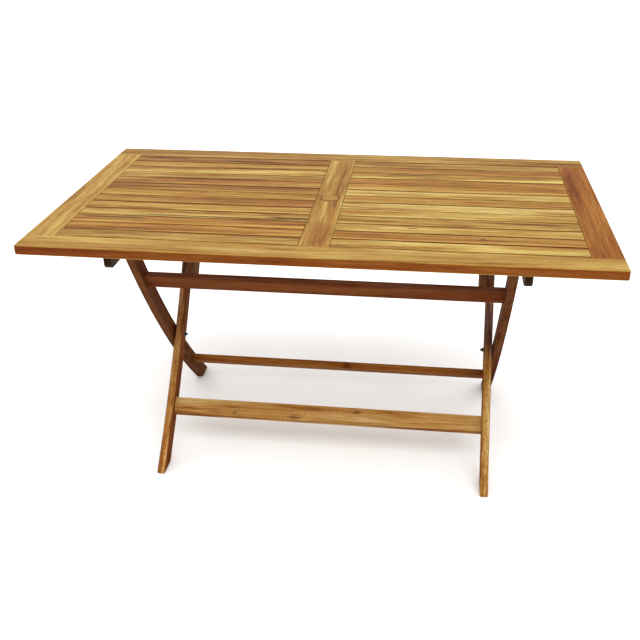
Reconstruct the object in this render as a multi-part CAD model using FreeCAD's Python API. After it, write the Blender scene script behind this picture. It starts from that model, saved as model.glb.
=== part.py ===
import FreeCAD, Part

# Folding picnic table in oiled hardwood: a framed, slatted top on two crossed leg frames.
# Millimetres. +X runs along the table, -Y is its front, +Z is up.
# The origin is on the floor under the middle of the top.

import math
import os

V = FreeCAD.Vector

# ---- driving dimensions of the whole table ----
LENGTH = 1432.0
DEPTH = 830.0
HEIGHT = 740.0

# ---- top ----
TOP_THICK = 24.0
LONG_RAIL = 72.0            # width of the front and back rails
END_RAIL = 74.0
CENTRE_RAIL = 75.0
SLATS = 13                  # in each of the two panels
SLAT_WIDTH = 48.0
SHOULDER_GAP = 0.8          # between a slat's shoulder and the rail beside it
TONGUE_THICK = 9.0
TONGUE_LENGTH = 8.0
TENON_THICK = 10.0
TENON_LENGTH = 24.0
TENON_INSET = 12.0          # how much narrower a tenon is than its rail, each side
CORNER_RADIUS = 6.0         # the top's four corners, seen from above
TOP_EDGE = 2.0              # eased outer edges of the top, above
LOW_EDGE = 3.5              # and below
LEG_EDGE = 2.0              # eased edges of legs, all round
SLAT_EDGE = 1.2             # eased edges of slats and bars

# ---- parasol hole and its plug ----
PLUG_RADIUS = 24.0
PLUG_LIP = 6.0              # thickness of the plug's wide upper part
POLE_RADIUS = 20.0          # of the hole below the lip
PLUG_CLEARANCE = 1.0
PLUG_EDGE = 1.2             # eased upper edges of the plug and of its hole

# ---- bearers under the top ----
BEARER_THICK = 20.0
BEARER_HEIGHT = 49.0
BEARER_LENGTH = 740.0
BEARER_OUTER = 514.0        # distance of the outer face from the table's middle
BEARER_NOSE = 16.0          # radius of the lower corner at each end
BEARER_EDGE = 3.0           # its eased lower edges

# ---- crossed leg frames ----
LEG_THICK = 21.5
LEG_WIDTH = 46.0
OUTER_LEG_FACE = 491.5      # outer face of an outer leg, from the table's middle
INNER_LEG_FACE = 467.0      # outer face of an inner leg
HINGE_Y = -275.0            # outer legs turn here, on the bearers
HINGE_DROP = 49.0           # hinge axis below the table's upper surface
CROSS_DROP = 445.0          # crossing axis below the upper surface
FOOT_Y = 273.0              # middle of an outer leg where it meets the floor
FOOT_SPARE = 88.0           # extra length of a leg's board before it is cut level at the floor
FOOT_REACH = 300.5          # the sharp toes are cut off upright, this far from the middle
CHEEK_THICK = 22.0
CHEEK_END = 172.0           # where a cheek stops, above the crossing, along the leg
BAR_THICK = 18.0
BAR_HEIGHT = 50.0
OUTER_UPPER_BAR = 334.0     # distance of each bar above the crossing, along the leg
INNER_TOP_BAR = 345.0
OUTER_LOWER_BAR = -223.5    # and below it
INNER_LOWER_BAR = -218.5
SLIM_BAR_THICK = 20.0
SLIM_BAR_HEIGHT = 34.0

# ---- fasteners ----
BOLT_RADIUS = 3.0
RUNNING_CLEARANCE = 0.05
BOLT_HEAD_RADIUS = 7.5
BOLT_HEAD_THICK = 3.2
BOLT_HEAD_ROUND = 2.6
BOLT_TIP = 4.5              # of thread beyond the nut
BOLT_TIP_BEVEL = 0.8
SOCKET_FLATS = 4.0          # hexagon socket in a bolt's head
SOCKET_DEPTH = 2.0
NUT_FLATS = 10.0
NUT_THICK = 5.0
NUT_CORNER_CUT = 0.5        # turned off the corners at the nut's free face
NUT_CORNER_SLOPE = 3.5      # radius the turning gains over the nut's thickness
WASHER_RADIUS = 8.0
WASHER_THICK = 1.2
FACE_GAP = 0.3              # between faces that rub
SCREW_RADIUS = 2.0
SCREW_HEAD_RADIUS = 4.0
SCREW_HEAD_DEPTH = 2.6
SCREW_LENGTH = 48.0
BEARER_SCREW_LENGTH = 36.0
BEARER_SCREW_BORE = 4.5     # radius of the recess its head sits in
BEARER_SCREW_RECESS = 27.0
RAIL_SCREW_INSET = 14.0     # of a bearer's screw from the inner edge of a long rail
SLAT_SCREW_STEP = 3         # one slat in three is screwed to the bearer

# ---- places worked out from the above ----
HINGE_Z = HEIGHT - HINGE_DROP
CROSS_Z = HEIGHT - CROSS_DROP
UNDERSIDE = HEIGHT - TOP_THICK
HALF_LENGTH = LENGTH / 2
HALF_DEPTH = DEPTH / 2
OPENING = DEPTH - 2 * LONG_RAIL
PANEL_OUT = HALF_LENGTH - END_RAIL
PANEL_IN = CENTRE_RAIL / 2
SLAT_GAP = (OPENING - SLATS * SLAT_WIDTH) / (SLATS + 1)

SIDES = (("left", -1), ("right", 1))


def save(name, solids):
    """Write one sub-part, made of one or more solids, to its own file."""
    if not isinstance(solids, list):
        solids = [solids]
    solids = [solid for shape in solids for solid in shape.Solids]
    shape = solids[0] if len(solids) == 1 else Part.makeCompound(solids)
    if not shape.isValid():
        raise ValueError("bad shape: " + name)
    shape.exportStep("parts/%s.step" % name)


def block(x0, x1, y0, y1, z0, z1):
    """A box between two corners, given in any order."""
    low = V(min(x0, x1), min(y0, y1), min(z0, z1))
    return Part.makeBox(abs(x1 - x0), abs(y1 - y0), abs(z1 - z0), low)


def rod(radius, start, end):
    """A cylinder from one point to another."""
    return Part.makeCylinder(radius, (end - start).Length, start, end - start)


def ease(shape, radius, wanted):
    """Round the straight or curved edges for which wanted(edge) is true."""
    edges = [edge for edge in shape.Edges if wanted(edge)]
    return shape.makeFillet(radius, edges)


def span(edge, axis):
    """Length of an edge's box along x, y or z."""
    return getattr(edge.BoundBox, axis.upper() + "Length")


def at(value, target):
    return abs(value - target) < 0.01


def level(edge, z):
    """Whether an edge lies wholly at a height."""
    return at(edge.BoundBox.ZMin, z) and at(edge.BoundBox.ZMax, z)


def lengthwise(edge, x, z):
    """Whether an edge runs along Y at the given x and z."""
    return span(edge, "y") > 1 and at(edge.BoundBox.XMin, x) and at(edge.BoundBox.ZMin, z)


# ---------------------------------------------------------------- the top

def mortise(x_middle, width, face_y, way):
    """The pocket, or the tenon that fills it, from face_y towards way."""
    half = width / 2 - TENON_INSET
    z_middle = HEIGHT - TOP_THICK / 2
    return block(x_middle - half, x_middle + half, face_y, face_y + way * TENON_LENGTH,
                 z_middle - TENON_THICK / 2, z_middle + TENON_THICK / 2)


CROSS_RAILS = ((-HALF_LENGTH + END_RAIL / 2, END_RAIL), (0.0, CENTRE_RAIL),
               (HALF_LENGTH - END_RAIL / 2, END_RAIL))


def long_rail(way):
    """Front (way -1) or back (way 1) rail, full length, mortised for the cross rails."""
    inner = way * OPENING / 2
    rail = block(-HALF_LENGTH, HALF_LENGTH, inner, way * HALF_DEPTH, UNDERSIDE, HEIGHT)
    rail = ease(rail, CORNER_RADIUS, lambda e: span(e, "z") > 1 and at(abs(e.BoundBox.YMin), HALF_DEPTH))
    for z, radius in ((HEIGHT, TOP_EDGE), (UNDERSIDE, LOW_EDGE)):
        rail = ease(rail, radius,
                    lambda e: level(e, z) and (span(e, "y") > 1 or not at(e.BoundBox.YMin, inner)))
    for x_middle, width in CROSS_RAILS:
        rail = rail.cut(mortise(x_middle, width, inner, way))
    return rail


def groove(face_x, way):
    """The slot along a cross rail's edge that takes the slats' tongues."""
    z_middle = HEIGHT - TOP_THICK / 2
    return block(face_x, face_x + way * (TONGUE_LENGTH + SHOULDER_GAP), -OPENING / 2, OPENING / 2,
                 z_middle - TONGUE_THICK / 2, z_middle + TONGUE_THICK / 2)


def cross_rail(x_middle, width):
    """An end rail or the centre rail, tenoned into both long rails."""
    rail = block(x_middle - width / 2, x_middle + width / 2, -OPENING / 2, OPENING / 2,
                 UNDERSIDE, HEIGHT)
    for way in (-1, 1):
        rail = rail.fuse(mortise(x_middle, width, way * OPENING / 2, way))
    return rail.removeSplitter()


def end_rail(side):
    rail = cross_rail(side * (HALF_LENGTH - END_RAIL / 2), END_RAIL)
    outer, inner = side * HALF_LENGTH, side * PANEL_OUT
    corners = ((outer, HEIGHT, TOP_EDGE), (outer, UNDERSIDE, LOW_EDGE), (inner, HEIGHT, SLAT_EDGE))
    for x, z, radius in corners:
        rail = ease(rail, radius, lambda e: lengthwise(e, x, z))
    return rail.cut(groove(inner, side))


def centre_rail():
    """Centre rail, with grooves on both edges and the stepped parasol hole."""
    rail = cross_rail(0.0, CENTRE_RAIL)
    for way in (-1, 1):
        rail = ease(rail, SLAT_EDGE, lambda e: lengthwise(e, way * PANEL_IN, HEIGHT))
        rail = rail.cut(groove(way * PANEL_IN, -way))
    wide = rod(PLUG_RADIUS + PLUG_CLEARANCE, V(0, 0, HEIGHT - PLUG_LIP), V(0, 0, HEIGHT))
    narrow = rod(POLE_RADIUS, V(0, 0, UNDERSIDE), V(0, 0, HEIGHT))
    rail = rail.cut(wide).cut(narrow)
    return ease(rail, PLUG_EDGE, lambda e: level(e, HEIGHT) and at(span(e, "x"), span(e, "y")))


def parasol_plug():
    """Stepped wooden disc that drops into the parasol hole, flush with the top."""
    lip = rod(PLUG_RADIUS, V(0, 0, HEIGHT - PLUG_LIP), V(0, 0, HEIGHT))
    body = rod(POLE_RADIUS - PLUG_CLEARANCE, V(0, 0, UNDERSIDE), V(0, 0, HEIGHT - PLUG_LIP))
    plug = lip.fuse(body).removeSplitter()
    return ease(plug, PLUG_EDGE, lambda e: level(e, HEIGHT))


def slat(side, number):
    """One slat of a panel, number 0 at the front, with a tongue at each end."""
    front = -OPENING / 2 + SLAT_GAP + number * (SLAT_WIDTH + SLAT_GAP)
    back = front + SLAT_WIDTH
    inner, outer = PANEL_IN + SHOULDER_GAP, PANEL_OUT - SHOULDER_GAP
    body = block(side * inner, side * outer, front, back, UNDERSIDE, HEIGHT)
    body = ease(body, SLAT_EDGE, lambda e: at(e.BoundBox.ZMin, HEIGHT))
    z_middle = HEIGHT - TOP_THICK / 2
    reach = SHOULDER_GAP + TONGUE_LENGTH
    tongue = block(side * (inner - reach), side * (outer + reach), front, back,
                   z_middle - TONGUE_THICK / 2, z_middle + TONGUE_THICK / 2)
    return body.fuse(tongue).removeSplitter()


def bearer(side):
    """Batten across the underside, rounded at its lower corners; a leg hinges on it."""
    half = BEARER_LENGTH / 2
    solid = block(side * BEARER_OUTER, side * (BEARER_OUTER - BEARER_THICK), -half, half,
                  UNDERSIDE - BEARER_HEIGHT, UNDERSIDE)
    solid = ease(solid, BEARER_NOSE, lambda e: span(e, "x") > 1 and e.BoundBox.ZMax < UNDERSIDE - 1)
    solid = ease(solid, BEARER_EDGE, lambda e: span(e, "x") < 0.01 and e.BoundBox.ZMin < UNDERSIDE - 1)
    axis = V(side * BEARER_OUTER, HINGE_Y, HINGE_Z)
    solid = solid.cut(rod(BOLT_RADIUS, axis, axis - V(side * BEARER_THICK, 0, 0)))
    for y in bearer_screw_places():
        solid = solid.cut(bearer_recess(side, y)).cut(bearer_screw(side, y))
    return solid


def bearer_screw_places():
    """Y of each screw: one in each long rail, and one in every third slat."""
    rail_place = OPENING / 2 + RAIL_SCREW_INSET
    places = [-rail_place, rail_place]
    for number in range(0, SLATS, SLAT_SCREW_STEP):
        places.append(-OPENING / 2 + SLAT_GAP + SLAT_WIDTH / 2 + number * (SLAT_WIDTH + SLAT_GAP))
    return places


def bearer_middle(side):
    return side * (BEARER_OUTER - BEARER_THICK / 2)


def bearer_recess(side, y):
    low = V(bearer_middle(side), y, UNDERSIDE - BEARER_HEIGHT)
    return rod(BEARER_SCREW_BORE, low, low + V(0, 0, BEARER_SCREW_RECESS))


def bearer_screw(side, y):
    """Countersunk screw up through the bearer into the top."""
    head = V(bearer_middle(side), y, UNDERSIDE - BEARER_HEIGHT + BEARER_SCREW_RECESS)
    return screw(head, V(0, 0, 1), BEARER_SCREW_LENGTH)


def screw(head, way, length):
    """Countersunk wood screw from the face its head is flush with."""
    cone = Part.makeCone(SCREW_HEAD_RADIUS, SCREW_RADIUS, SCREW_HEAD_DEPTH, head, way)
    shank = Part.makeCylinder(SCREW_RADIUS, length, head, way)
    return cone.fuse(shank).removeSplitter()


# ---------------------------------------------------------------- legs

def arc_through(a, b, c):
    """Centre and radius of the circle through three points in the YZ plane."""
    (ay, az), (by, bz), (cy, cz) = a, b, c
    d = 2 * (ay * (bz - cz) + by * (cz - az) + cy * (az - bz))
    sa, sb, sc = ay * ay + az * az, by * by + bz * bz, cy * cy + cz * cz
    y = (sa * (bz - cz) + sb * (cz - az) + sc * (az - bz)) / d
    z = (sa * (cy - by) + sb * (ay - cy) + sc * (by - ay)) / d
    return y, z, math.hypot(ay - y, az - z)


# An outer leg's centre line is one arc through its hinge, the crossing and its foot.
# An inner leg is its mirror image, front to back.
ARC_Y, ARC_Z, ARC_RADIUS = arc_through((HINGE_Y, HINGE_Z), (0.0, CROSS_Z), (FOOT_Y, 0.0))


def arc_angle(y, z):
    return math.atan2(z - ARC_Z, y - ARC_Y)


HINGE_ANGLE = arc_angle(HINGE_Y, HINGE_Z)
CROSS_ANGLE = arc_angle(0.0, CROSS_Z)
FOOT_ANGLE = arc_angle(FOOT_Y, 0.0)
TURN = math.copysign(1.0, HINGE_ANGLE - CROSS_ANGLE)


def arc_point(radius, angle, mirror):
    """Point on a circle about the leg's arc centre; mirror is 1, or -1 for an inner leg."""
    return V(0, mirror * (ARC_Y + radius * math.cos(angle)), ARC_Z + radius * math.sin(angle))


def along(distance):
    """Angle of the place at a distance along the leg from the crossing, upwards positive."""
    return CROSS_ANGLE + TURN * distance / ARC_RADIUS


def curved_board(mirror, angle_top, angle_foot, round_top):
    """Flat curved board of a leg's width, one unit square to the YZ plane, at x = 0."""
    near, far = ARC_RADIUS - LEG_WIDTH / 2, ARC_RADIUS + LEG_WIDTH / 2
    middle = (angle_top + angle_foot) / 2
    near_arc = Part.Arc(*[arc_point(near, a, mirror) for a in (angle_top, middle, angle_foot)])
    far_arc = Part.Arc(*[arc_point(far, a, mirror) for a in (angle_foot, middle, angle_top)])
    foot = Part.LineSegment(arc_point(near, angle_foot, mirror), arc_point(far, angle_foot, mirror))
    if round_top:
        tip = arc_point(ARC_RADIUS, angle_top + TURN * LEG_WIDTH / 2 / ARC_RADIUS, mirror)
        cap = Part.Arc(arc_point(far, angle_top, mirror), tip, arc_point(near, angle_top, mirror))
    else:
        cap = Part.LineSegment(arc_point(far, angle_top, mirror), arc_point(near, angle_top, mirror))
    edges = [piece.toShape() for piece in (near_arc, foot, far_arc, cap)]
    return Part.Face(Part.Wire(edges))


def leg_blank(side, mirror, outer_face):
    """A leg before boring: eased along its length, cut level at the floor, with a blunt toe."""
    face = curved_board(mirror, HINGE_ANGLE, FOOT_ANGLE - TURN * FOOT_SPARE / ARC_RADIUS, True)
    face.translate(V(side * outer_face, 0, 0))
    leg = face.extrude(V(-side * LEG_THICK, 0, 0))
    leg = leg.common(block(-HALF_LENGTH, HALF_LENGTH, -FOOT_REACH, FOOT_REACH, 0, HEIGHT))
    return ease(leg, LEG_EDGE, lambda e: span(e, "x") < 0.01 or at(e.BoundBox.ZMax, 0))


def bar(distance, mirror, thick, height, reach):
    """Straight bar between the legs of a frame, square to the leg's length there."""
    middle = arc_point(ARC_RADIUS, along(distance), mirror)
    shape = block(-reach, reach, -thick / 2, thick / 2, -height / 2, height / 2)
    shape = ease(shape, SLAT_EDGE, lambda e: span(e, "x") > 1)
    shape.rotate(V(0, 0, 0), V(1, 0, 0), math.degrees(lean(distance, mirror)))
    shape.translate(middle)
    return shape


def lean(distance, mirror):
    """Turn about X that stands a bar's height along the leg at a distance."""
    above = arc_point(ARC_RADIUS, along(distance + 1), mirror)
    below = arc_point(ARC_RADIUS, along(distance - 1), mirror)
    return math.atan2(above.z - below.z, above.y - below.y) - math.pi / 2


def bar_screws(distance, mirror, leg_face, pair_spacing):
    """Screws through both legs into a bar's ends, heads flush with the legs' outer faces."""
    middle = arc_point(ARC_RADIUS, along(distance), mirror)
    turn = lean(distance, mirror)
    up = V(0, -math.sin(turn), math.cos(turn))
    offsets = (0.0,) if pair_spacing == 0 else (-pair_spacing / 2, pair_spacing / 2)
    screws = []
    for name, side in SIDES:
        for offset in offsets:
            head = V(side * leg_face, middle.y, middle.z) + up * offset
            screws.append(screw(head, V(-side, 0, 0), SCREW_LENGTH))
    return screws


def outer_screws():
    return (bar_screws(OUTER_UPPER_BAR, 1, OUTER_LEG_FACE, BAR_HEIGHT / 2)
            + bar_screws(OUTER_LOWER_BAR, 1, OUTER_LEG_FACE, 0))


def inner_screws():
    return (bar_screws(INNER_TOP_BAR, -1, INNER_LEG_FACE, BAR_HEIGHT / 2)
            + bar_screws(INNER_LOWER_BAR, -1, INNER_LEG_FACE, BAR_HEIGHT / 2))


def outer_leg(side):
    """Outer leg, bored for its hinge bolt and the crossing bolt."""
    leg = leg_blank(side, 1, OUTER_LEG_FACE)
    for y, z, radius in ((HINGE_Y, HINGE_Z, BOLT_RADIUS + RUNNING_CLEARANCE), (0, CROSS_Z, BOLT_RADIUS)):
        start = V(side * OUTER_LEG_FACE, y, z)
        leg = leg.cut(rod(radius, start, start - V(side * LEG_THICK, 0, 0)))
    return leg.cut(outer_screws())


def inner_leg(side):
    """Inner leg, bored to turn on the crossing bolt."""
    leg = leg_blank(side, -1, INNER_LEG_FACE)
    start = V(side * INNER_LEG_FACE, 0, CROSS_Z)
    leg = leg.cut(rod(BOLT_RADIUS + RUNNING_CLEARANCE, start, start - V(side * LEG_THICK, 0, 0)))
    return leg.cut(inner_screws())


def leg_cheek(side):
    """Doubling piece on the inner face of an inner leg's upper part."""
    face = curved_board(-1, HINGE_ANGLE, along(CHEEK_END), True)
    face.translate(V(side * (INNER_LEG_FACE - LEG_THICK), 0, 0))
    cheek = face.extrude(V(-side * CHEEK_THICK, 0, 0))
    inner = side * (INNER_LEG_FACE - LEG_THICK - CHEEK_THICK)
    cheek = ease(cheek, LEG_EDGE, lambda e: span(e, "x") < 0.01 and at(e.BoundBox.XMin, inner))
    return cheek.cut(inner_screws())


def outer_upper_bar():
    shape = bar(OUTER_UPPER_BAR, 1, BAR_THICK, BAR_HEIGHT, OUTER_LEG_FACE - LEG_THICK)
    return shape.cut(outer_screws())


def outer_lower_bar():
    shape = bar(OUTER_LOWER_BAR, 1, SLIM_BAR_THICK, SLIM_BAR_HEIGHT, OUTER_LEG_FACE - LEG_THICK)
    return shape.cut(outer_screws())


def inner_top_bar():
    shape = bar(INNER_TOP_BAR, -1, BAR_THICK, BAR_HEIGHT, INNER_LEG_FACE - LEG_THICK - CHEEK_THICK)
    return shape.cut(inner_screws())


def inner_lower_bar():
    shape = bar(INNER_LOWER_BAR, -1, BAR_THICK, BAR_HEIGHT, INNER_LEG_FACE - LEG_THICK)
    return shape.cut(inner_screws())


# ---------------------------------------------------------------- bolts

def hexagon(flats, x, y, z, length):
    """Hexagonal prism along X, length long (or back towards -X if negative)."""
    corner = flats / math.sqrt(3)
    turns = [math.radians(60 * k) for k in range(7)]
    points = [V(x, y + corner * math.cos(turn), z + corner * math.sin(turn)) for turn in turns]
    return Part.Face(Part.makePolygon(points)).extrude(V(length, 0, 0))


def bolt(side, y, z, head_face, nut_face):
    """Round-headed bolt along X from the outer face it bears on, out past its nut."""
    start = V(side * head_face, y, z)
    end = V(side * (nut_face - NUT_THICK - BOLT_TIP), y, z)
    crown = V(start.x + side * BOLT_HEAD_THICK, y, z)
    shank = rod(BOLT_RADIUS, start, end)
    tip_edges = [e for e in shank.Edges if at(e.BoundBox.XMin, end.x) and span(e, "y") > 1]
    shank = shank.makeChamfer(BOLT_TIP_BEVEL, tip_edges)
    head = rod(BOLT_HEAD_RADIUS, start, crown)
    head = ease(head, BOLT_HEAD_ROUND, lambda e: at(e.BoundBox.XMin, crown.x) and span(e, "y") > 1)
    socket = hexagon(SOCKET_FLATS, crown.x, y, z, -side * SOCKET_DEPTH)
    return shank.fuse(head).removeSplitter().cut(socket)


def nut(side, y, z, face):
    """Hexagon nut against a face, on its inner side, with its corners turned off."""
    x = side * face
    small = NUT_FLATS / math.sqrt(3) - NUT_CORNER_CUT
    turned = Part.makeCone(small + NUT_CORNER_SLOPE, small, NUT_THICK, V(x, y, z), V(-side, 0, 0))
    bore = rod(BOLT_RADIUS, V(x, y, z), V(x - side * NUT_THICK, y, z))
    return hexagon(NUT_FLATS, x, y, z, -side * NUT_THICK).common(turned).cut(bore)


def washer(side, y, z, face, thick, bore):
    """Flat ring whose outer face is at the given distance from the table's middle."""
    start, end = V(side * face, y, z), V(side * (face - thick), y, z)
    return rod(WASHER_RADIUS, start, end).cut(rod(bore, start, end))


BEARER_GAP = BEARER_OUTER - BEARER_THICK - OUTER_LEG_FACE
LEG_GAP = OUTER_LEG_FACE - LEG_THICK - INNER_LEG_FACE
HINGE_NUT_FACE = OUTER_LEG_FACE - LEG_THICK - FACE_GAP
CROSS_NUT_FACE = INNER_LEG_FACE - LEG_THICK - FACE_GAP - WASHER_THICK


def hinge_bolts():
    return [bolt(side, HINGE_Y, HINGE_Z, BEARER_OUTER, HINGE_NUT_FACE) for name, side in SIDES]


def hinge_nuts():
    return [nut(side, HINGE_Y, HINGE_Z, HINGE_NUT_FACE) for name, side in SIDES]


def hinge_spacers():
    """Rings between bearer and leg."""
    thick = BEARER_GAP - FACE_GAP
    return [washer(side, HINGE_Y, HINGE_Z, BEARER_OUTER - BEARER_THICK, thick, BOLT_RADIUS)
            for name, side in SIDES]


def crossing_bolts():
    return [bolt(side, 0, CROSS_Z, OUTER_LEG_FACE, CROSS_NUT_FACE) for name, side in SIDES]


def crossing_nuts():
    return [nut(side, 0, CROSS_Z, CROSS_NUT_FACE) for name, side in SIDES]


def crossing_washers():
    """Rings between the two legs, and under the nuts."""
    rings = []
    for name, side in SIDES:
        for face, thick in ((OUTER_LEG_FACE - LEG_THICK, LEG_GAP - FACE_GAP),
                            (CROSS_NUT_FACE + WASHER_THICK, WASHER_THICK)):
            rings.append(washer(side, 0, CROSS_Z, face, thick, BOLT_RADIUS))
    return rings


def bearer_screws():
    return [bearer_screw(side, y) for name, side in SIDES for y in bearer_screw_places()]


def main():
    os.makedirs("parts", exist_ok=True)
    drilled = bearer_screws()
    save("front_rail", long_rail(-1).cut(drilled))
    save("back_rail", long_rail(1).cut(drilled))
    save("centre_rail", centre_rail())
    save("parasol_plug", parasol_plug())
    for name, side in SIDES:
        save(name + "_end_rail", end_rail(side))
        save(name + "_bearer", bearer(side))
        save(name + "_outer_leg", outer_leg(side))
        save(name + "_inner_leg", inner_leg(side))
        save(name + "_leg_cheek", leg_cheek(side))
        for number in range(SLATS):
            save("%s_slat_%02d" % (name, number + 1), slat(side, number).cut(drilled))
    save("bearer_screws", drilled)
    save("outer_upper_bar", outer_upper_bar())
    save("outer_lower_bar", outer_lower_bar())
    save("inner_top_bar", inner_top_bar())
    save("inner_lower_bar", inner_lower_bar())
    save("outer_bar_screws", outer_screws())
    save("inner_bar_screws", inner_screws())
    save("hinge_bolts", hinge_bolts())
    save("hinge_nuts", hinge_nuts())
    save("hinge_spacers", hinge_spacers())
    save("crossing_bolts", crossing_bolts())
    save("crossing_nuts", crossing_nuts())
    save("crossing_washers", crossing_washers())


main()
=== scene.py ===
"""Looks of a folding picnic table in oiled hardwood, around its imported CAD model.

Everything is in metres, in the CAD frame: +X along the table, -Y its front, +Z up, floor at Z 0.
Every CAD node stays and gets a procedural material: wood that is grained along its own board,
blackened steel bolts and zinc-plated screws.
"""

import math
import random

import bmesh
import bpy
from mathutils import Matrix, Vector


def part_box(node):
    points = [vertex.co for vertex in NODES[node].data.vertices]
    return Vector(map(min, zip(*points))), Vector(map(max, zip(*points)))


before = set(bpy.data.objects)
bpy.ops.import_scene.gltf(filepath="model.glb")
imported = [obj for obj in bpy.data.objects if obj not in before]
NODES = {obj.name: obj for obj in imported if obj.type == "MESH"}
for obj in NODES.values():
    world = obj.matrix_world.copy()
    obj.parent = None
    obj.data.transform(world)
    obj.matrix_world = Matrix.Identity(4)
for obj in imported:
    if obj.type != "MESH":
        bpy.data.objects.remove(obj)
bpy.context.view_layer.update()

# ---- camera: where a standing person sees the whole table from ----
CAMERA_PLACE = (0.2677, -2.2214, 1.5226)
CAMERA_TURN = 7.68          # degrees to the left of straight ahead
CAMERA_TILT = 27.31         # degrees down
CAMERA_ROLL = -0.65
CAMERA_LENS = 48.58         # millimetres
CAMERA_SENSOR = 36.0        # millimetres across

# ---- light ----
# Each sun: strength, degrees across (wide for soft shadows), degrees above the horizon,
# and degrees round from the front, towards the right.
SUNS = {"key": (1.76, 50.0, 62.0, 14.0), "fill": (0.5, 60.0, 40.0, 200.0)}
SKY_STRENGTH = 1.10

# ---- floor ----
FLOOR_SPAN = 60.0
FLOOR_CELLS = 8
FLOOR_DROP = 0.0004         # keeps the floor from lying in the same plane as the feet

# ---- finish of the surfaces: relief in metres, and how much light the oil reflects ----
WOOD_RELIEF = 0.00010
METAL_RELIEF = 0.00003
FLOOR_RELIEF = 0.0002
TOP_SHEEN = 0.05
BAR_SHEEN = 0.03
LEG_SHEEN = 0.005

# ---- boards ----
SLATS = 13                  # in each panel of the top
RING_GAP = 0.006            # between growth rings
PLUG_RADIUS = 0.0250


def srgb(red, green, blue):
    """Linear colour from the usual 0 to 255 values."""
    def linear(value):
        value /= 255
        return value / 12.92 if value <= 0.04045 else ((value + 0.055) / 1.055) ** 2.4
    return linear(red), linear(green), linear(blue)


def times(colour, factors):
    """The colour with each part multiplied, and held to 1."""
    return tuple(min(1.0, c * f) for c, f in zip(colour, factors))


# Main colours of the oiled boards.
TONES = {
    "straw": srgb(181, 157, 90),
    "honey": srgb(167, 136, 67),
    "gold": srgb(155, 117, 50),
    "tan": srgb(150, 116, 54),
    "apricot": srgb(172, 134, 77),
    "sand": srgb(157, 123, 57),
    # The next two tones are the inner legs' narrow sides, painted lighter as sides that catch the
    # light.
    "lit_side": srgb(177, 142, 81),
    "rubbed": srgb(174, 132, 75),
    "amber": srgb(150, 107, 45),
    "brown": srgb(139, 96, 40),
    "orange": srgb(136, 84, 24),
    "russet": srgb(115, 65, 26),
    "chestnut": srgb(98, 50, 18),
    "bay": srgb(106, 58, 27),
    "walnut": srgb(88, 50, 25),
    "dusty": srgb(107, 73, 49),
    "umber": srgb(70, 56, 36),
}
# Factors of a board's main colour, for what lies in it and on it.
PALER = (1.30, 1.54, 2.10)
MIDDLING = (0.86, 0.73, 0.62)
DEEPER = (0.56, 0.38, 0.25)
DARKEST = (0.24, 0.18, 0.16)
SAPWOOD = (1.50, 1.90, 2.3)
STAINED_AND_SHADED_EDGE = (0.58, 0.32, 0.25)   # a rail's sides are darker than its top: they take up more oil, and painted shade darkens them further
GAP_DIRT_AND_SHADE = (0.20, 0.06, 0.02)      # a slat's sides are sawn and dark with oil and dirt, and painted shade darkens them further in the gaps
PALER_GAP_DIRT_AND_SHADE = (0.38, 0.19, 0.09)    # some sides hold less dirt and get lighter painted shade
PAINTED_EDGE_SHADE = (0.32, 0.11, 0.05)          # painted shade along an edge, beside a gap or under a bar
KNOT_CORE = (0.20, 0.13, 0.12)
KNOT_RINGS = (0.52, 0.40, 0.34)
PORE = (0.32, 0.22, 0.17)
BOARD_END = (0.46, 0.33, 0.26)
# paler rounded edges: wear, and a painted highlight where they catch the light
WORN_EDGE_HIGHLIGHT = (1.30, 1.45, 1.55)
# painted shade in a ring round a hole's rim, darker on the front side
RIM_SHADE = (0.34, 0.21, 0.13)


def share(tone, main):
    """Factors that turn the main tone into another one."""
    return tuple(new / old for new, old in zip(TONES[tone], TONES[main]))


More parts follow.
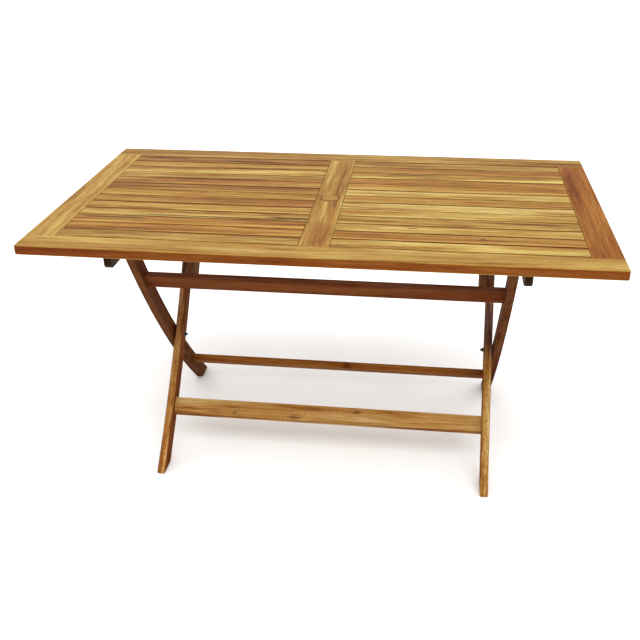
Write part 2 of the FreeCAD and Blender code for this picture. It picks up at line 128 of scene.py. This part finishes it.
class Tree:
    """A material's node tree. Each call adds a node and returns its output socket."""

    def __init__(self, name):
        self.material = bpy.data.materials.new(name)
        self.material.use_nodes = True
        self.tree = self.material.node_tree
        self.tree.nodes.clear()

    def node(self, kind, inputs=(), out=0, **settings):
        """inputs maps socket names or numbers to sockets or constants."""
        made = self.tree.nodes.new(kind)
        for name, value in settings.items():
            setattr(made, name, value)
        for key, value in dict(inputs).items():
            if isinstance(value, bpy.types.NodeSocket):
                self.tree.links.new(value, made.inputs[key])
            else:
                made.inputs[key].default_value = value
        return made.outputs[out]

    def math(self, operation, *values, clamp=False):
        return self.node("ShaderNodeMath", enumerate(values), operation=operation, use_clamp=clamp)

    def vector(self, operation, *values, out=0):
        return self.node("ShaderNodeVectorMath", enumerate(values), out, operation=operation)

    def dot(self, vector, direction):
        return self.vector("DOT_PRODUCT", vector, direction, out=1)

    def length(self, x, y):
        squares = [self.math("MULTIPLY", value, value) for value in (x, y)]
        return self.math("SQRT", self.math("ADD", *squares))

    def join(self, x, y, z):
        return self.node("ShaderNodeCombineXYZ", enumerate((x, y, z)))

    def spread(self, value, low, high, to_low=0.0, to_high=1.0):
        """Smooth step of value between low and high."""
        inputs = enumerate((value, low, high, to_low, to_high))
        return self.node("ShaderNodeMapRange", inputs, interpolation_type="SMOOTHSTEP")

    def noise(self, vector, detail=2.0, roughness=0.5, distortion=0.0):
        inputs = {"Vector": vector, "Scale": 1.0, "Detail": detail,
                  "Roughness": roughness, "Distortion": distortion}
        return self.node("ShaderNodeTexNoise", inputs)

    def mix(self, factor, first, second, blend="MIX"):
        made = self.tree.nodes.new("ShaderNodeMix")
        made.data_type = "RGBA"
        made.blend_type = blend
        for socket, value in ((0, factor), (6, first), (7, second)):
            if isinstance(value, bpy.types.NodeSocket):
                self.tree.links.new(value, made.inputs[socket])
            elif socket == 0:
                made.inputs[socket].default_value = value
            else:
                made.inputs[socket].default_value = (*value, 1.0)
        return made.outputs[2]

    def product(self, colour, factors):
        return self.mix(1.0, colour, factors, "MULTIPLY")

    def ramp(self, factor, stops):
        """Colour bands, each stop being (place, colour)."""
        made = self.tree.nodes.new("ShaderNodeValToRGB")
        self.tree.links.new(factor, made.inputs[0])
        elements = made.color_ramp.elements
        while len(elements) < len(stops):
            elements.new(0.5)
        for element, (place, colour) in zip(elements, stops):
            element.position = place
            element.color = (*colour, 1.0)
        return made.outputs[0]

    def finish(self, colour, roughness, height, depth, **constants):
        """The surface. Constants go straight to the shader's own sockets."""
        bump = self.node("ShaderNodeBump", {"Height": height, "Distance": depth, "Strength": 1.0})
        inputs = {"Base Color": colour, "Roughness": roughness, "Normal": bump}
        for name, value in constants.items():
            inputs[name.replace("_", " ")] = value
        surface = self.node("ShaderNodeBsdfPrincipled", inputs)
        end = self.tree.nodes.new("ShaderNodeOutputMaterial")
        self.tree.links.new(surface, end.inputs["Surface"])
        return self.material


# ---------------------------------------------------------------- wood

class Board:
    """How one board lies: its middle, and the directions of its grain, width and thickness."""

    def __init__(self, name, grain, across):
        low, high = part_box(name)
        self.name = name
        self.middle = (low + high) / 2
        self.grain = Vector(grain).normalized()
        self.across = Vector(across).normalized()
        self.thick = self.grain.cross(self.across)
        self.half = max((v.co - self.middle).dot(self.across) for v in NODES[name].data.vertices)


class Wood(Tree):
    """Procedural wood for one board. Each method lays something over the colour so far."""

    def __init__(self, board, tone, figure, seed):
        super().__init__("wood_" + board.name)
        self.board = board
        self.tone = tone
        self.main = TONES[tone]
        self.figure = figure
        self.chance = random.Random(seed)

        # place on the board, and how far the surface faces each way, 0 to 1:
        # along the grain, across it and through it
        axes = (board.grain, board.across, board.thick)
        place = self.node("ShaderNodeTexCoord", out="Object")
        local = self.vector("SUBTRACT", place, board.middle)
        self.space = [self.dot(local, axis) for axis in axes]
        normal = self.node("ShaderNodeTexCoord", out="Normal")
        self.facing = [self.math("ABSOLUTE", self.dot(normal, axis)) for axis in axes]
        flat = self.spread(self.facing[2], 0.15, 0.80)
        self.masks = {"flat": flat, "side": self.math("SUBTRACT", 1.0, flat), "all": 1.0}

        # colour wanders in long streaks, deeper and paler than the board's own tone
        self.broad, self.middle, self.fine = [self.streaky(*scales) for scales
                                              in ((2.2, 40), (6.0, 115), (18, 290))]
        self.patch = self.streaky(2.4, 9, 2.0)
        streak = self.math("MULTIPLY_ADD", self.broad, 0.52,
                           self.math("MULTIPLY", self.middle, 0.28))
        streak = self.math("MULTIPLY_ADD", self.fine, 0.20, streak)
        half = 0.070 / figure
        stops = ((-1.0, DEEPER), (-0.5, MIDDLING), (0.2, (1.0, 1.0, 1.0)), (1.0, PALER))
        self.colour = self.ramp(streak, [(0.5 + half * place, times(self.main, factors))
                                         for place, factors in stops])

    def grained(self, along, across, detail, roughness=0.5, distortion=0.0):
        """Noise drawn out along the grain: features per metre each way, at a random place."""
        shifts = [self.chance.uniform(-40, 40) for axis in range(3)]
        scaled = [self.math("MULTIPLY_ADD", value, scale, shift) for value, scale, shift
                  in zip(self.space, (along, across, across), shifts)]
        return self.noise(self.join(*scaled), detail, roughness, distortion)

    def streaky(self, along, across, detail=3.0):
        return self.grained(along, across, detail, 0.6, 0.25)

    def cover(self, amount, factors, strength=1.0):
        """Covers the colour with the main one times the factors."""
        if strength != 1.0:
            amount = self.math("MULTIPLY", amount, strength)
        self.colour = self.mix(amount, self.colour, times(self.main, factors))

    def tint(self, amount, factors, where):
        amount = self.math("MULTIPLY", amount, self.masks[where])
        self.colour = self.mix(amount, self.colour, self.product(self.colour, factors))

    def add_band(self, factors, start, end, where):
        rise = self.spread(self.math("MULTIPLY_ADD", self.patch, 0.05, self.space[0]), start, end)
        self.tint(rise, factors, where)

    def add_patch(self, along, across, size, tone, where):
        x = self.math("SUBTRACT", self.space[0], along)
        y = self.math("MULTIPLY", self.math("SUBTRACT", self.space[1], across), 2.5)
        ragged = self.math("SUBTRACT", self.middle, 0.5)
        far = self.math("MULTIPLY_ADD", ragged, size, self.length(x, y))
        here = self.spread(far, size * 0.3, size, 1.0, 0.0)
        self.tint(here, share(tone, self.tone), where)

    def reach(self, way, noise, ragged):
        """Place towards one edge of the board, roughened by noise."""
        return self.math("MULTIPLY_ADD", self.math("SUBTRACT", noise, 0.5), ragged,
                         self.math("MULTIPLY", self.space[1], way))

    def add_sapwood(self, way):
        strip = self.spread(self.reach(way, self.broad, 0.045),
                            self.board.half - 0.0095, self.board.half - 0.0055)
        self.cover(strip, SAPWOOD, 0.75)

    def add_rings(self, knots):
        """Growth rings about a pith that lies outside the board, wanders and shuns the knots."""
        wander = self.streaky(1.6, 5, 2.0)
        push, self.cores = self.knot_fields(knots)
        side = self.chance.uniform(-0.05, 0.05)
        below = self.chance.uniform(0.03, 0.09)
        y = self.math("MULTIPLY_ADD", wander, 0.08, self.math("ADD", self.space[1], side))
        z = self.math("ADD", self.space[2], below)
        self.radius = self.length(y, z)
        if knots:
            self.radius = self.math("ADD", self.radius, push)
        turns = self.math("MULTIPLY_ADD", self.broad, 1.6,
                          self.math("DIVIDE", self.radius, RING_GAP))
        turns = self.math("MULTIPLY_ADD", self.fine, 0.7, turns)
        late = self.math("FRACT", turns)
        late = self.math("MULTIPLY", self.spread(late, 0.25, 0.86),
                         self.spread(late, 0.90, 1.0, 1.0, 0.0))
        self.late_wood = self.math("MULTIPLY", late, self.spread(wander, 0.36, 0.58, 0.25, 1.0))
        shade = self.ramp(self.late_wood, [(0.0, (1.0, 1.0, 1.0)), (1.0, (0.86, 0.79, 0.73))])
        self.colour = self.product(self.colour, shade)

    def knot_fields(self, knots):
        """The push that knots give the rings, and their ragged cores."""
        push, cores = None, None
        ragged = self.math("MULTIPLY", self.math("SUBTRACT", self.middle, 0.5), 3.0)
        for along, across, radius in knots:
            x = self.math("DIVIDE", self.math("SUBTRACT", self.space[0], along), radius * 1.7)
            y = self.math("DIVIDE", self.math("SUBTRACT", self.space[1], across), radius)
            far = self.length(x, y)
            here = self.spread(far, 0.2, 3.0, radius * 1.5, 0.0)
            push = here if push is None else self.math("ADD", push, here)
            here = self.spread(self.math("ADD", far, ragged), 0.15, 1.10, 1.0, 0.0)
            cores = here if cores is None else self.math("MAXIMUM", cores, here)
        return push, cores

    def add_minerals(self, streaks):
        """Thin dark mineral streaks and thin pale ones, only in parts of the board."""
        thin, pale = self.streaky(2.6, 130), self.streaky(3.0, 150)
        mineral = self.math("MULTIPLY", self.spread(thin, 0.60, 0.70),
                            self.spread(self.patch, 0.47, 0.60))
        mineral = self.math("MULTIPLY", mineral, 0.62 * self.figure)
        rough = self.math("SUBTRACT", 0.5, self.fine)
        for along, half_length, across, half_width in streaks:
            x = self.math("ABSOLUTE", self.math("SUBTRACT", self.space[0], along))
            y = self.math("ABSOLUTE", self.math("SUBTRACT", self.space[1], across))
            y = self.math("MULTIPLY_ADD", rough, half_width, y)
            here = self.math("MULTIPLY", self.spread(x, half_length * 0.4, half_length, 1.0, 0.0),
                             self.spread(y, half_width * 0.5, half_width * 1.7, 1.0, 0.0))
            mineral = self.math("MAXIMUM", mineral, here)
        self.cover(self.spread(pale, 0.60, 0.70), PALER, 0.55 * self.figure)
        self.cover(mineral, DARKEST)

    def add_knot_cores(self):
        """Dark cores, mottled and ringed."""
        rings = self.math("SINE", self.math("MULTIPLY", self.radius, 2600.0))
        dark, pale = times(self.main, KNOT_CORE), times(self.main, KNOT_RINGS)
        core_colour = self.mix(self.spread(rings, -1.0, 1.0), dark, pale)
        self.colour = self.mix(self.math("MULTIPLY", self.cores, 0.92), self.colour, core_colour)

    def add_fibres(self):
        """Fibres and open pores, seen close up."""
        self.fibre = self.grained(26, 1100, 2.0, 0.6)
        shade = self.ramp(self.fibre, [(0.30, (0.82, 0.78, 0.74)), (0.68, (1.09, 1.10, 1.10))])
        self.colour = self.product(self.colour, shade)
        self.pores = self.spread(self.grained(70, 2300, 1.0), 0.63, 0.70)
        self.cover(self.pores, PORE, 0.6)

    def add_ends(self):
        self.ends = self.spread(self.facing[0], 0.70, 0.92)
        self.cover(self.ends, BOARD_END, 0.75)

    # The narrow sides tinted by edge: factors below 1 darken them with oil, dirt and painted shade,
    # factors above 1 paint light onto them.
    def stain_sides(self, stain, edge, mottle):
        stained = self.product(self.colour, edge)
        if mottle:
            blotch = self.grained(150, 260, 3.0, 0.65)
            dull = self.ramp(blotch, [(0.40, (0.66, 0.53, 0.43)), (0.56, (1.06, 1.08, 1.12))])
            stained = self.mix(mottle, stained, self.product(stained, dull))
        amount = self.math("MULTIPLY", self.masks["side"], stain)
        self.colour = self.mix(amount, self.colour, stained)

    def add_rim_shade(self, radius):
        """Painted shade in a ring round the rim of a round hole, darker on the front side."""
        far = self.length(self.space[0], self.space[1])
        ring = self.math("MULTIPLY", self.spread(far, radius - 0.0035, radius - 0.001),
                         self.spread(far, radius + 0.001, radius + 0.0035, 1.0, 0.0))
        depth = self.math("MULTIPLY_ADD", self.space[0], self.board.grain.y,
                          self.math("MULTIPLY", self.space[1], self.board.across.y))
        fade = self.spread(depth, -0.024, 0.024, 1.0, 0.35)
        self.cover(self.math("MULTIPLY", ring, fade), RIM_SHADE)

    def wear_and_highlight_edges(self):
        """Handled edges are paler with wear, and carry a painted highlight."""
        arris = self.math("MULTIPLY", self.spread(self.facing[1], 0.2, 0.5),
                          self.spread(self.facing[2], 0.2, 0.5))
        worn_highlight = self.math("MULTIPLY", arris, self.spread(self.broad, 0.42, 0.60, 0.1, 0.8))
        self.cover(worn_highlight, WORN_EDGE_HIGHLIGHT)

    # A painted line of shade along one edge of the board, beside a gap or under a bar.
    def add_grime(self, way):
        line = self.spread(self.reach(way, self.fine, 0.006),
                           self.board.half - 0.0062, self.board.half - 0.0030)
        line = self.math("MULTIPLY", line, self.spread(self.patch, 0.34, 0.54, 0.35, 0.90))
        self.cover(line, PAINTED_EDGE_SHADE)

    def add_clouds(self):
        cloud = self.ramp(self.patch, [(0.30, (0.88, 0.85, 0.82)), (0.70, (1.08, 1.10, 1.11))])
        self.colour = self.product(self.colour, cloud)

    def surface(self, sheen):
        roughness = self.math("MULTIPLY_ADD", self.fibre, 0.22, 0.42)
        roughness = self.math("MULTIPLY_ADD", self.ends, 0.18, roughness)
        roughness = self.math("MULTIPLY_ADD", self.pores, 0.15, roughness, clamp=True)
        height = self.math("MULTIPLY_ADD", self.late_wood, 0.35, self.fibre)
        height = self.math("MULTIPLY_ADD", self.pores, -0.9, height)
        return self.finish(self.colour, roughness, height, WOOD_RELIEF, Specular_IOR_Level=sheen)


def wood(board, tone, seed, knots=(), streaks=(), stain=0.0, edge=STAINED_AND_SHADED_EDGE, figure=1.0,
         bands=(), patches=(), sheen=TOP_SHEEN, sapwood=0, grime=0, mottle=0.0, rim=0.0):
    """Oiled wood for one board.

    knots     each (along, across, radius)
    streaks   placed dark mineral streaks, each (along, half length, across, half width)
    stain  how much the factors of edge tint every side but the two flat ones: oil, dirt and painted
    shade where they are below 1, painted light where they are above 1
    figure    how strong the streaks are
    bands     tints from one place along the board onwards, each (factors, from, to, where)
    patches   soft areas of another tone, each (along, across, half size, tone, where)
    sheen     how much light the oil reflects
    sapwood   1 or -1 for a pale strip along that edge of the board
    grime  1 or -1 for a painted line of shade along that edge
    mottle    how blotchy the tinted sides are
    rim       radius of a painted ring of shade round a hole's rim, or 0
    In bands and patches, where says which sides they hold for: "flat", "side" or "all".
    """
    layers = Wood(board, tone, figure, seed)
    for band in bands:
        layers.add_band(*band)
    for patch in patches:
        layers.add_patch(*patch)
    if sapwood:
        layers.add_sapwood(sapwood)
    layers.add_rings(knots)
    layers.add_minerals(streaks)
    if knots:
        layers.add_knot_cores()
    layers.add_fibres()
    layers.add_ends()
    if stain:
        layers.stain_sides(stain, edge, mottle)
    if rim:
        layers.add_rim_shade(rim)
    layers.wear_and_highlight_edges()
    if grime:
        layers.add_grime(grime)
    layers.add_clouds()
    return layers.surface(sheen)


# ---------------------------------------------------------------- metal

def metal(name, tone, worn_tone, rough, seed):
    """Turned or pressed steel: fine turning marks, blotches and brighter rubbed spots."""
    chance = random.Random(seed)
    tree = Tree(name)
    place = tree.node("ShaderNodeTexCoord", out="Object")

    def cloud(scale, detail):
        shift = Vector([chance.uniform(-20, 20) for axis in range(3)])
        moved = tree.vector("ADD", tree.vector("MULTIPLY", place, Vector((scale,) * 3)), shift)
        return tree.noise(moved, detail, 0.6)

    blotch = cloud(260.0, 3.0)
    grit = cloud(2400.0, 2.0)
    turning = tree.noise(tree.vector("MULTIPLY", place, Vector((5200.0, 300.0, 300.0))), 2.0, 0.6)
    rubbed = tree.math("MULTIPLY", tree.spread(blotch, 0.52, 0.66), tree.spread(grit, 0.35, 0.65))
    colour = tree.mix(rubbed, tone, worn_tone)
    shade = tree.ramp(grit, [(0.3, (0.80, 0.80, 0.80)), (0.7, (1.1, 1.1, 1.1))])
    colour = tree.product(colour, shade)
    roughness = tree.math("MULTIPLY_ADD", blotch, 0.25, rough - 0.10)
    height = tree.math("MULTIPLY_ADD", turning, 0.6, grit)
    return tree.finish(colour, roughness, height, METAL_RELIEF, Metallic=0.9,
                       Specular_IOR_Level=0.5)


# ---------------------------------------------------------------- boards of the table

X_AXIS, Y_AXIS, Z_AXIS = Vector((1, 0, 0)), Vector((0, 1, 0)), Vector((0, 0, 1))
SIDES = ("left", "right")

# Slats from the front of each panel to the back, as they happened to be picked from the pile.
SLAT_TONES = {
    "left": "tan amber amber honey gold amber gold brown amber tan honey gold brown".split(),
    "right": "honey amber honey tan honey straw gold honey gold amber honey brown tan".split(),
}
# Marks on single slats, in metres from the slat's middle: knots (along, across, radius)
# and dark streaks (along, half length, across, half width).
SLAT_KNOTS = {
    "right_slat_02": [(0.060, 0.006, 0.008)],
    "left_slat_11": [(-0.020, -0.004, 0.005)],
    "right_slat_10": [(0.150, 0.004, 0.006)],
}
# Slats with a pale strip of sapwood: -1 along the front edge, 1 along the back one.
SLAT_SAPWOOD = {
    "left": (0, -1, -1, 0, -1, 0, 0, -1, 0, 0, -1, 0, 0),
    "right": (0, -1, 0, -1, 0, 0, 0, 0, 0, 0, -1, -1, 0),
}
# Slats with a painted line of shade along the back edge, beside the gap.
EDGE_SHADED_SLATS = {"left": (1, 3, 4, 5, 8, 12, 13), "right": (1, 2, 3, 6, 8, 10, 13)}
SLAT_STREAKS = {
    "left_slat_03": [(-0.200, 0.120, 0.010, 0.004)],
    "left_slat_04": [(0.050, 0.300, -0.018, 0.003), (0.260, 0.080, -0.010, 0.006)],
    "left_slat_13": [(0.060, 0.130, -0.008, 0.005), (-0.200, 0.090, 0.008, 0.004)],
    "right_slat_02": [(0.080, 0.060, -0.004, 0.002)],
    "right_slat_03": [(-0.110, 0.018, 0.006, 0.002)],
    "right_slat_04": [(0.160, 0.140, 0.010, 0.003)],
    "right_slat_11": [(-0.120, 0.110, 0.012, 0.004)],
}


def paint(name, material):
    """Gives a CAD node one material everywhere."""
    mesh = NODES[name].data
    mesh.materials.clear()
    mesh.materials.append(material)
    for polygon in mesh.polygons:
        polygon.material_index = 0


def dress(name, grain, across, tone, seed, **looks):
    paint(name, wood(Board(name, grain, across), tone, seed, **looks))


def dress_top():
    # The slats' sides are darkened with dirt and painted gap shade; some slats get a painted line
    # of shade along the back edge.
    gap_dirt_and_shade_pick = random.Random(5)
    for number in range(SLATS):
        for side, figure in (("left", 1.0), ("right", 0.88)):
            name = f"{side}_slat_{number + 1:02d}"
            dress(name, X_AXIS, Y_AXIS, SLAT_TONES[side][number],
                  100 + number * 2 + SIDES.index(side), figure=figure, stain=1.0,
                  edge=gap_dirt_and_shade_pick.choice((GAP_DIRT_AND_SHADE, GAP_DIRT_AND_SHADE, PALER_GAP_DIRT_AND_SHADE)),
                  knots=SLAT_KNOTS.get(name, ()), streaks=SLAT_STREAKS.get(name, ()),
                  sapwood=SLAT_SAPWOOD[side][number],
                  grime=int(number + 1 in EDGE_SHADED_SLATS[side]))
    dress("front_rail", X_AXIS, Y_AXIS, "sand", 11, figure=0.65, stain=1.0,
          edge=times(STAINED_AND_SHADED_EDGE, share("gold", "sand")),
          patches=[(-0.64, -0.03, 0.30, "brown", "side")])
    dress("back_rail", X_AXIS, Y_AXIS, "tan", 12, figure=0.8, stain=1.0)
    dress("left_end_rail", Y_AXIS, X_AXIS, "honey", 13, figure=0.7, stain=0.7)
    dress("right_end_rail", Y_AXIS, X_AXIS, "orange", 14, figure=0.8, stain=0.7)
    # The centre rail and the plug: painted shade on the hole's walls and in a ring round its rim.
    dress("centre_rail", Y_AXIS, X_AXIS, "sand", 15, figure=0.7, stain=1.0, edge=GAP_DIRT_AND_SHADE,
          patches=[(-0.28, 0.008, 0.13, "brown", "flat")], rim=PLUG_RADIUS)
    dress("parasol_plug", X_AXIS, Y_AXIS, "gold", 16, stain=1.0, edge=GAP_DIRT_AND_SHADE, rim=PLUG_RADIUS)
    for seed, side in enumerate(SIDES, 17):
        dress(side + "_bearer", Y_AXIS, Z_AXIS, "umber", seed, stain=0.5)


# An inner leg's tone; that of its narrow sides, painted lighter than the flat sides as sides that
# catch the light;
# its tone above the crossing bolt, painted darker as the table top's shadow; and the factors that
# paint shade on its narrow sides near the top.
INNER_LEG_TONES = {
    "left": ("russet", "rubbed", "bay", (0.20, 0.24, 0.30)),
    "right": ("orange", "lit_side", "walnut", (0.80, 0.75, 0.65)),
}
TO_THE_BACK, TO_THE_FRONT = 1, -1


def leg_grain(name, way):
    """A leg's grain runs straight from end to end, rising to the back or to the front."""
    low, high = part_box(name)
    return Vector((0, way * (high.y - low.y), high.z - low.z)).normalized()


def dress_leg(name, way, tone, seed, **looks):
    grain = leg_grain(name, way)
    dress(name, grain, X_AXIS.cross(grain), tone, seed, sheen=LEG_SHEEN, **looks)


def dress_bar(name, leg, way, tone, seed, edge, **looks):
    """A bar's width lies along the legs it joins. edge tints its narrow sides; factors above 1
    paint light onto them.
    """
    dress(name, X_AXIS, leg_grain(leg, way), tone, seed, figure=0.7, stain=1.0, edge=edge,
          sheen=BAR_SHEEN, **looks)


def dress_legs():
    for seed, side in enumerate(SIDES, 30):
        dress_leg(side + "_outer_leg", TO_THE_FRONT, "walnut", seed)
        tone, lit_side, upper, top = INNER_LEG_TONES[side]
        # The bands paint the table top's shadow over the leg above the crossing, and shade on the
        # narrow sides near the top.
        dress_leg(side + "_inner_leg", TO_THE_BACK, tone, seed + 4, stain=1.0,
                  edge=share(lit_side, tone), mottle=0.8,
                  bands=[(share(upper, tone), -0.09, 0.02, "all"), (top, 0.12, 0.18, "side")])
        dress_leg(side + "_leg_cheek", TO_THE_BACK, "dusty", seed + 6)

    # The bars' narrow sides are tinted by edge, with painted light where its factors are above 1.
    dress_bar("outer_upper_bar", "left_outer_leg", TO_THE_FRONT, "chestnut", 41, (1.65, 2.5, 7.0))
    darker_end = share("chestnut", "orange")
    # The two lower bars get a painted line of shade along their lower edge.
    dress_bar("outer_lower_bar", "left_outer_leg", TO_THE_FRONT, "orange", 42, (1.1, 1.1, 2.0),
              grime=-1, knots=[(0.034, 0.015, 0.011)],
              bands=[(darker_end, 0.28, 0.60, "all"), (darker_end, -0.36, -0.54, "all")])
    dress_bar("inner_top_bar", "left_inner_leg", TO_THE_BACK, "chestnut", 43, (1.0, 1.0, 1.0))
    dress_bar("inner_lower_bar", "left_inner_leg", TO_THE_BACK, "apricot", 44, (1.8, 2.25, 2.7),
              grime=-1,
              knots=[(-0.265, -0.010, 0.009), (-0.090, -0.014, 0.011), (0.090, 0.012, 0.011)])


def dress_metal():
    black_steel = metal("dark_steel", srgb(52, 42, 36), srgb(112, 96, 82), 0.50, 51)
    zinc = metal("zinc_screws", srgb(150, 148, 138), srgb(196, 196, 190), 0.42, 52)
    for name in ("hinge_bolts", "hinge_nuts", "crossing_bolts", "crossing_nuts"):
        paint(name, black_steel)
    for name in ("hinge_spacers", "crossing_washers", "bearer_screws",
                 "outer_bar_screws", "inner_bar_screws"):
        paint(name, zinc)


# ---------------------------------------------------------------- stage

def make_floor():
    """A wide pale floor, matt, with the faint mottling of rolled paint."""
    mesh = bpy.data.meshes.new("floor")
    grid = bmesh.new()
    bmesh.ops.create_grid(grid, x_segments=FLOOR_CELLS, y_segments=FLOOR_CELLS,
                          size=FLOOR_SPAN / 2)
    grid.to_mesh(mesh)
    grid.free()
    floor = bpy.data.objects.new("floor", mesh)
    floor.location.z = -FLOOR_DROP
    bpy.context.scene.collection.objects.link(floor)
    tree = Tree("pale_floor")
    place = tree.node("ShaderNodeTexCoord", out="Object")
    mottle = tree.noise(tree.vector("MULTIPLY", place, Vector((6.0, 6.0, 6.0))), 4.0)
    colour = tree.ramp(mottle, [(0.3, srgb(243, 243, 243)), (0.7, srgb(247, 247, 247))])
    roughness = tree.spread(mottle, 0.3, 0.7, 0.75, 0.85)
    mesh.materials.append(tree.finish(colour, roughness, mottle, FLOOR_RELIEF,
                                      Specular_IOR_Level=0.2))


def rotation(degrees, axis):
    return Matrix.Rotation(math.radians(degrees), 4, axis)


def make_light():
    for name, (strength, across, height, side) in SUNS.items():
        light = bpy.data.lights.new(name, "SUN")
        light.energy = strength
        light.angle = math.radians(across)
        sun = bpy.data.objects.new(name, light)
        sun.matrix_world = rotation(side, "Z") @ rotation(90 - height, "X")
        bpy.context.scene.collection.objects.link(sun)
    world = bpy.data.worlds.new("soft_studio")
    world.use_nodes = True
    background = world.node_tree.nodes["Background"]
    background.inputs["Color"].default_value = (1.0, 1.0, 1.0, 1.0)
    background.inputs["Strength"].default_value = SKY_STRENGTH
    bpy.context.scene.world = world
    bpy.context.scene.view_settings.view_transform = "Standard"


def make_camera():
    lens = bpy.data.cameras.new("camera")
    lens.lens = CAMERA_LENS
    lens.sensor_width = CAMERA_SENSOR
    camera = bpy.data.objects.new("camera", lens)
    turn = rotation(CAMERA_TURN, "Z") @ rotation(90 - CAMERA_TILT, "X") @ rotation(CAMERA_ROLL, "Z")
    camera.matrix_world = Matrix.Translation(CAMERA_PLACE) @ turn
    bpy.context.scene.collection.objects.link(camera)
    bpy.context.scene.camera = camera


make_camera()
make_light()
make_floor()
dress_top()
dress_legs()
dress_metal()
